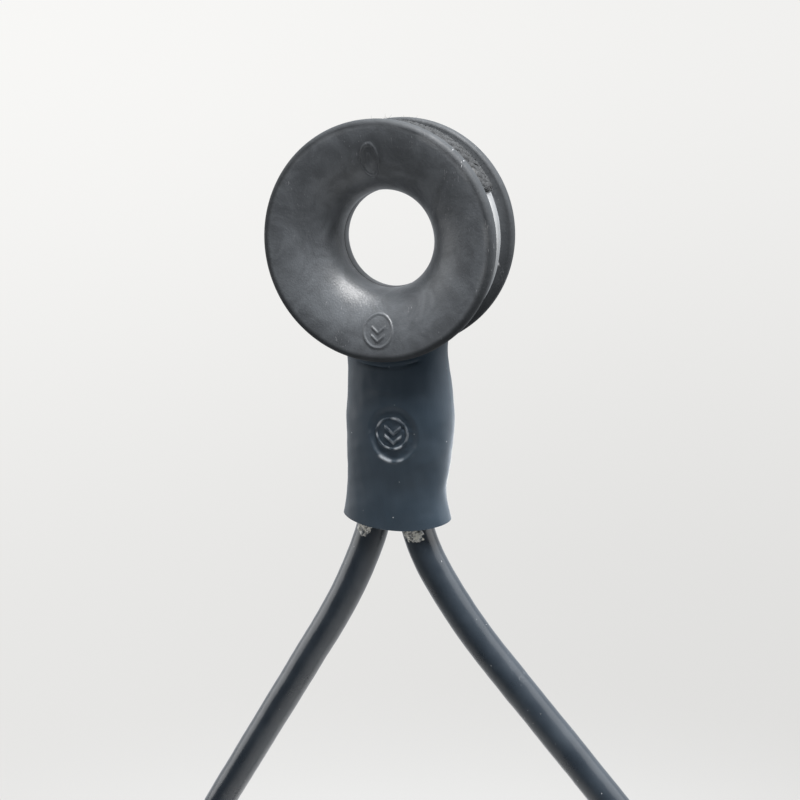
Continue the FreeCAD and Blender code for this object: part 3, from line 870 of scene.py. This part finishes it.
# ----------------------------------------------------------------------------- heat-shrink

SLEEVE_WALL = 0.8
SLEEVE_TOP_R = 22.9
# outline at heights down the sleeve: reach to the right, to the left, and to the front and rear
SLEEVE_Z = np.array([-17.0, -18.8, -20.8, -23.0, -26.2, -31.3, -36.5, -41.5, -46.5, -51.5, -55.5, -62.0])
SLEEVE_RIGHT = np.array([13.2, 12.3, 11.5, 11.45, 12.0, 12.65, 13.0, 12.6, 12.0, 11.0, 11.3, 13.1])
SLEEVE_LEFT = np.array([12.8, 11.8, 10.5, 9.7, 9.4, 9.6, 10.1, 10.1, 10.05, 10.3, 10.75, 12.2])
SLEEVE_DEPTH = np.array([4.9, 4.9, 5.0, 5.1, 5.5, 6.5, 6.85, 6.65, 6.0, 5.35, 5.35, 5.4])
SECTION_POWER = 2.3
MOUTH_EDGE_R = 46.0
MOUTH_LOW = (0.9, -60.1)
STAMP_PLACE = (1.9, -39.1)
STAMP_R = 5.5
STAMP_STRETCH = 1.14
STAMP_DEPTH = 0.6
STAMP_EDGE_HEIGHT = 0.17
STAMP_MARK_HEIGHT = 0.3
STAMP_STROKE = 0.5
STAMP_RING_R = 3.4
STAMP_CHEVRON = (1.8, 1.4)
STAMP_CHEVRON_DROPS = (-0.1, 1.6)
WRINKLE_Z = -30.2
WRINKLE_HALF_WIDTH = 0.5
WRINKLE_DEPTH = 0.1
CREASE_Z = -25.35
CREASE_HALF_WIDTH = 0.26
CREASE_DEPTH = 0.35
STAMP_MARGIN = 0.6
LIP_DROP = 0.18
CROWN_RISE = 0.2
# steps round the sleeve as shares of a turn, and steps down it; the fine ones are at the stamp
SHARE_STEPS = (0.0017, 0.0055)
ROW_STEPS = (0.12, 0.36)


def curve_through(z, heights, values):
    """Smooth curve through values at heights (which fall), read at z."""
    fine = np.linspace(heights[-1], heights[0], 400)
    rough = np.interp(fine, heights[::-1], values[::-1])
    kernel = np.exp(-0.5 * (np.arange(-30, 31) / 11.0) ** 2)
    padded = np.concatenate([np.full(30, rough[0]), rough, np.full(30, rough[-1])])
    return np.interp(z, fine, np.convolve(padded, kernel / kernel.sum(), "valid"))


def stamp_relief(x, z):
    """Depth of the round stamp (a dished floor, a worn edge that stands only on its lower side, a ring and a load
    arrow) and its raised part, which is painted lighter: the marks partly polish and partly a painted highlight,
    the lower edge a painted highlight.
    """
    sx, sz = x - STAMP_PLACE[0], (z - STAMP_PLACE[1]) / STAMP_STRETCH
    reach = np.hypot(sx, sz)
    upper_left = smoothstep(-0.6, 0.9, (sz - 0.7 * sx) / STAMP_R)
    floor = -(STAMP_DEPTH + 0.2 * upper_left) * (1.0 - smoothstep(STAMP_R - 1.5, STAMP_R + 0.1, reach))
    # the edge stands only on the lower side, which faces the light from above; its lighter colour there is a
    # painted highlight
    lit_low_side = smoothstep(0.1, -0.9, (sz + 0.3 * sx) / STAMP_R)
    edge = np.exp(-(((reach - STAMP_R + 0.45) / 0.3) ** 2)) * lit_low_side
    inside = 1.0 - smoothstep(STAMP_R - 1.3, STAMP_R - 0.8, reach)
    marks = line_of(np.hypot(sx + 0.3, 1.2 * (sz - 0.2)) - STAMP_RING_R, STAMP_STROKE)
    for drop in STAMP_CHEVRON_DROPS:
        marks = np.maximum(marks, line_of(bent_line(sx, sz + drop, *STAMP_CHEVRON), STAMP_STROKE))
    raised = np.maximum(marks * inside, edge)
    return floor + STAMP_EDGE_HEIGHT * edge + STAMP_MARK_HEIGHT * marks * inside, raised


def columns_round():
    """Shares of the way round the section, closer together across the front's middle."""
    fine, coarse = SHARE_STEPS
    shares = [0.0]
    while shares[-1] < 1.0:
        from_front = abs(shares[-1] - 0.75)
        shares.append(shares[-1] + (fine if from_front < 0.1 else coarse))
    return np.array(shares[:-1])


def section_point(share, right, left, depth):
    """Point of the sleeve's oval section: share 0 is the right side, 0.25 the rear, 0.75 the front."""
    along, across = cosd(360.0 * share), sind(360.0 * share)
    squareness = 2.0 / SECTION_POWER
    x = (right - left) / 2 + (right + left) / 2 * np.sign(along) * np.abs(along) ** squareness
    return x, depth * np.sign(across) * np.abs(across) ** squareness


def sleeve_surface(z, share, inset):
    """Points of the sleeve at heights and shares of a turn, moved inwards by inset."""
    right = curve_through(z, SLEEVE_Z, SLEEVE_RIGHT) - inset
    left = curve_through(z, SLEEVE_Z, SLEEVE_LEFT) - inset
    depth = curve_through(z, SLEEVE_Z, SLEEVE_DEPTH) - inset
    x, y = section_point(share, right, left, depth)
    return np.stack([x, y, z], -1)


def mouth_z(x):
    """Height of the cut mouth at x: a shallow arc that hangs lowest in the middle."""
    low_x, low_z = MOUTH_LOW
    return low_z + MOUTH_EDGE_R - np.sqrt(MOUTH_EDGE_R**2 - (x - low_x) ** 2)


def crown_z(x):
    """Height of the sleeve's top edge at x, which follows the ring."""
    return -np.sqrt(SLEEVE_TOP_R**2 - np.minimum(np.abs(x), 0.6 * SLEEVE_TOP_R) ** 2)


def sleeve_rows():
    """Shares of the way down the sleeve for its rows, closer together round the stamp."""
    top, low = -SLEEVE_TOP_R, MOUTH_LOW[1]
    fine, coarse = ROW_STEPS
    rows = [top]
    while rows[-1] > low:
        near = abs(rows[-1] - STAMP_PLACE[1]) < STAMP_STRETCH * STAMP_R + STAMP_MARGIN
        rows.append(rows[-1] - (fine if near else coarse))
    return (top - np.array(rows)) / (top - rows[-1])


def sleeve_relief(place):
    """Height of the small relief on the sleeve, and how far each point is painted lighter: polish and a painted
    highlight on the stamp.
    """
    x, y, z = place[..., 0], place[..., 1], place[..., 2]
    front = smoothstep(0.5, -0.5, y)
    lumps = 0.045 * ripples(place, 7.0, 51) + 0.02 * ripples(place, 3.1, 52)
    wrinkle = np.exp(-(((z - WRINKLE_Z + 0.12 * x) / WRINKLE_HALF_WIDTH) ** 2))
    wrinkle = wrinkle * smoothstep(5.5, 2.0, np.abs(x + 0.3))
    crease = np.exp(-(((z - CREASE_Z - 0.02 * (x + 1.0) ** 2) / CREASE_HALF_WIDTH) ** 2))
    crease = crease * smoothstep(7.6, 5.6, np.abs(x - 0.7))
    reach = np.hypot(x - STAMP_PLACE[0], (z - STAMP_PLACE[1]) / STAMP_STRETCH)
    inside = smoothstep(STAMP_R - 0.5, STAMP_R - 2.0, reach)
    melt = (0.08 * ripples(place, 2.4, 53) + 0.03 * ripples(place, 1.1, 54)) * inside
    depth, raised = stamp_relief(x, z)
    patchy = smoothstep(-0.7, 1.0, ripples(place, 2.2, 55))
    folds = depth + melt - WRINKLE_DEPTH * wrinkle - CREASE_DEPTH * crease
    return lumps + folds * front, raised * patchy * front


def build_sleeve():
    """Heat-shrunk sleeve: a skin with a rolled lip at the mouth and a thick top edge."""
    share = columns_round()[None, :]
    down = sleeve_rows()[:, None]
    level = -SLEEVE_TOP_R + (MOUTH_LOW[1] + SLEEVE_TOP_R) * down + 0.0 * share
    x = sleeve_surface(level, share, 0.0)[..., 0]
    # rows bend to start on the ring's circle and to end on the mouth's edge
    z = level + (crown_z(x) + SLEEVE_TOP_R) * smoothstep(0.3, 0.0, down)
    z = z + (mouth_z(x) - MOUTH_LOW[1]) * smoothstep(0.55, 1.0, down)
    outer = sleeve_surface(z, share, 0.0)
    out = np.stack([outer[..., 0] * 0.35, outer[..., 1], 0.0 * z], -1)
    out /= np.linalg.norm(out, axis=-1, keepdims=True)
    relief, polish_and_highlight = sleeve_relief(outer)
    outer = outer + out * relief[..., None]
    inner = sleeve_surface(z, share, SLEEVE_WALL)
    lip = 0.5 * (outer[-1:] + inner[-1:]) + np.array([0.0, 0.0, -LIP_DROP])
    crown = 0.5 * (outer[:1] + inner[:1]) + np.array([0.0, 0.0, CROWN_RISE])
    grid = np.concatenate([crown, outer, lip, inner[::-1]])
    obj = Shape().sheet(grid, wrap_rows=True, wrap_columns=True).piece("shrink_sleeve_skin", SLEEVE, 60.0)
    wear_and_highlight = np.zeros(grid.shape[:2])
    # the stamp's raised marks and lower edge are painted lighter: polish and painted highlight
    wear_and_highlight[1 : 1 + len(down)] = polish_and_highlight
    mark_points(obj, "wear_and_highlight", wear_and_highlight)
    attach(obj, "neck")
    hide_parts("shrink_sleeve")


# --------------------------------------------------------------------------------- adhesive

BEAD_LENGTH = 7.4
BEAD_TOP_Z = -56.0
BEAD_THICKNESS = 0.5
BEAD_SINK = 0.06
BEAD_BACK = 0.25
# each bead's side of the cord, the angle that it faces, half its span in degrees, and its seed
BEADS = {
    "left_glue_bead": (-1, -68.0, 36.0, 61),
    "right_glue_bead": (1, -90.0, 44.0, 72),
}


def glue_bead(name, side, face_angle, half_span, seed):
    """Hot-melt squeezed out on the front of one leg at the sleeve's mouth."""
    start = CORD.where(BEAD_TOP_Z, side)
    end = start + side * BEAD_LENGTH
    rows, columns = 40, 44
    along = np.linspace(0.0, 1.0, rows)[:, None]
    around = np.linspace(-1.0, 1.0, columns)[None, :]
    angle = face_angle + around * half_span
    distance = start + (end - start) * along[:, 0]
    flat = CORD.surface(distance, angle + 0.0 * along, np.full((rows, columns), TUBE_R))
    ragged = 0.5 * ripples(flat, 2.4, seed) + 0.35 * ripples(flat, 0.9, seed + 1)
    cover = smoothstep(0.0, 0.3, 1.0 - along**3 - 0.8 * around**2 - 0.34 * ragged)
    height = BEAD_THICKNESS * cover * (0.75 + 0.25 * ripples(flat, 0.8, seed + 2))
    edge = np.minimum(smoothstep(0.0, 0.08, along), smoothstep(1.0, 0.92, along))
    edge = edge * smoothstep(1.0, 0.9, np.abs(around))
    outer = CORD.surface(distance, angle + 0.0 * along, TUBE_R - BEAD_SINK + height * edge)
    inner = CORD.surface(distance, angle + 0.0 * along, np.full((rows, columns), TUBE_R - BEAD_BACK))
    shape = Shape()
    shape.sheet(outer)
    shape.sheet(inner)
    outline = [(0, j) for j in range(columns)] + [(i, columns - 1) for i in range(1, rows)]
    outline += [(rows - 1, j) for j in range(columns - 2, -1, -1)] + [(i, 0) for i in range(rows - 2, 0, -1)]
    # walls join the rims of the two sheets
    rim = [i * columns + j for i, j in outline]
    count = rows * columns
    for a, b in zip(rim, rim[1:] + rim[:1]):
        shape.faces.append([a, b, b + count, a + count])
    obj = shape.piece(name, GLUE, 70.0)
    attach(obj, "neck")


def build_adhesive():
    for name, setting in BEADS.items():
        glue_bead(name, *setting)


def dress_hidden_nodes():
    """Finishes for the CAD nodes that stay as they are."""
    finishes = {
        "splice_whipping": TWINE,
        "seizing_base_turns": TWINE,
        "seizing_riding_turns": TWINE,
        "mouth_adhesive": GLUE,
    }
    for node, material in finishes.items():
        for slot in frame["nodes"][node].material_slots:
            slot.material = material


# ------------------------------------------------------------------------- stage and light

CAMERA_AZIMUTH = 18.37
CAMERA_ELEVATION = 6.39
CAMERA_DISTANCE = 240.0
CAMERA_LENS = 53.43
SENSOR_WIDTH = 36.0
NEAREST_VIEW = 0.01
CAMERA_TILT = 7.757
CAMERA_PAN = 0.457
CAMERA_ROLL = 1.0
FLOOR_Z = -360.0
FLOOR_R = 640.0
FLOOR_SOLID_R = 260.0
FLOOR_COLOUR = (0.33, 0.33, 0.327)
# world's strength along one axis: from, to, strength at from, strength at to
BACK_GLOW = (-0.5, 0.6, 0.085, 0.85)
TOP_GLOW = (-0.1, 0.95, 0.0, 0.5)
LOW_SHADE = (-0.8, 0.0, 0.75, 1.0)
GLOW_COLOUR = (0.92, 0.965, 1.02, 1.0)
WALL_RAMP = (-0.47, 0.08, 0.78, 0.915)
WALL_SIDE = (-0.62, 0.05, 1.025, 0.96)
WALL_COLOUR = (1.0, 0.995, 0.98, 1.0)
# each light's place and aim in metres, diameter in metres and power in watts
LIGHTS = {
    "top_softbox": ((0.20, -0.06, 0.55), (0.0, 0.0, 0.0), 0.36, 26.0),
    "left_softbox": ((-0.82, -0.12, 0.12), (0.0, 0.0, -0.05), 1.00, 5.0),
    "low_front_fill": ((0.05, -0.48, -0.50), (0.0, 0.0, 0.0), 0.50, 3.0),
    "right_softbox": ((0.85, 0.12, 0.05), (0.0, 0.0, -0.05), 0.90, 3.0),
}
UNREFLECTED_LIGHT = "low_front_fill"


def build_camera():
    """Looks at the ring from the front right, then tilts down and pans to place the ring high up."""
    azimuth, elevation = math.radians(CAMERA_AZIMUTH), math.radians(CAMERA_ELEVATION)
    back = Vector((
        math.sin(azimuth) * math.cos(elevation),
        -math.cos(azimuth) * math.cos(elevation),
        math.sin(elevation),
    ))
    data = bpy.data.cameras.new("camera")
    data.lens = CAMERA_LENS
    data.sensor_width = SENSOR_WIDTH
    data.clip_start = NEAREST_VIEW
    camera = bpy.data.objects.new("camera", data)
    bpy.context.scene.collection.objects.link(camera)
    aim = (-back).to_track_quat("-Z", "Y").to_matrix()
    roll = Matrix.Rotation(math.radians(-CAMERA_ROLL), 3, "Z")
    tilt = Matrix.Rotation(math.radians(-CAMERA_TILT), 3, "X")
    pan = Matrix.Rotation(math.radians(-CAMERA_PAN), 3, "Y")
    turn = aim @ roll @ tilt @ pan
    camera.matrix_world = Matrix.Translation(back * CAMERA_DISTANCE * MM) @ turn.to_4x4()
    bpy.context.scene.camera = camera


def area_light(name, place, aim, size, power):
    """A round softbox that the camera doesn't see."""
    data = bpy.data.lights.new(name, "AREA")
    data.shape = "DISK"
    data.size = size
    data.energy = power
    light = bpy.data.objects.new(name, data)
    light.location = place
    light.rotation_euler = (Vector(aim) - Vector(place)).to_track_quat("-Z", "Y").to_euler()
    light.visible_camera = False
    light.visible_glossy = name != UNREFLECTED_LIGHT
    bpy.context.scene.collection.objects.link(light)


def build_world():
    """A pale wall to the camera. As light it is bright behind and above, and dim in front and below."""
    world = bpy.data.worlds.new("studio")
    bpy.context.scene.world = world
    world.use_nodes = True
    tree = world.node_tree
    direction = tree.nodes.new("ShaderNodeTexCoord").outputs["Generated"]
    split = tree.nodes.new("ShaderNodeSeparateXYZ")
    tree.links.new(direction, split.inputs[0])

    def ramp(axis, start, end, at_start, at_end):
        node = tree.nodes.new("ShaderNodeMapRange")
        node.interpolation_type = "SMOOTHSTEP"
        tree.links.new(split.outputs[axis], node.inputs["Value"])
        limits = {"From Min": start, "From Max": end, "To Min": at_start, "To Max": at_end}
        for name, value in limits.items():
            node.inputs[name].default_value = value
        return node.outputs["Result"]

    def join(operation, first, second):
        node = tree.nodes.new("ShaderNodeMath")
        node.operation = operation
        tree.links.new(first, node.inputs[0])
        tree.links.new(second, node.inputs[1])
        return node.outputs[0]

    light = tree.nodes["Background"]
    light.inputs["Color"].default_value = GLOW_COLOUR
    glow = join("ADD", ramp("Y", *BACK_GLOW), ramp("Z", *TOP_GLOW))
    tree.links.new(join("MULTIPLY", glow, ramp("Z", *LOW_SHADE)), light.inputs["Strength"])
    wall = tree.nodes.new("ShaderNodeBackground")
    wall.inputs["Color"].default_value = WALL_COLOUR
    tree.links.new(join("MULTIPLY", ramp("Z", *WALL_RAMP), ramp("X", *WALL_SIDE)), wall.inputs["Strength"])
    path = tree.nodes.new("ShaderNodeLightPath")
    choose = tree.nodes.new("ShaderNodeMixShader")
    tree.links.new(path.outputs["Is Camera Ray"], choose.inputs["Fac"])
    tree.links.new(light.outputs[0], choose.inputs[1])
    tree.links.new(wall.outputs[0], choose.inputs[2])
    tree.links.new(choose.outputs[0], tree.nodes["World Output"].inputs["Surface"])


def build_floor():
    """Round pale floor that fades out towards its edge."""
    rings, sides = 24, 96
    radii = np.linspace(1.0, FLOOR_R, rings)[:, None]
    angles = round_angles(sides)[None, :]
    grid = np.stack([radii * cosd(angles), radii * sind(angles), np.full((rings, sides), FLOOR_Z)], -1)
    m = Material("floor")
    m.set(Base_Color=FLOOR_COLOUR, Roughness=0.9)
    centre = m.tree.nodes.new("ShaderNodeVectorMath")
    centre.operation = "LENGTH"
    m.feed(centre.inputs[0], m.place)
    m.set(Alpha=m.between(centre.outputs["Value"], FLOOR_SOLID_R * MM, FLOOR_R * MM, 1.0, 0.0))
    floor = Shape().sheet(grid, wrap_columns=True).piece("floor", m.material)
    floor.visible_diffuse = False


def build_lights():
    for name, setting in LIGHTS.items():
        area_light(name, *setting)


build_ring()
build_cord()
build_chafe_sleeve()
build_sleeve()
build_adhesive()
dress_hidden_nodes()
build_world()
build_floor()
build_lights()
build_camera()
bpy.context.scene.view_settings.view_transform = "Standard"
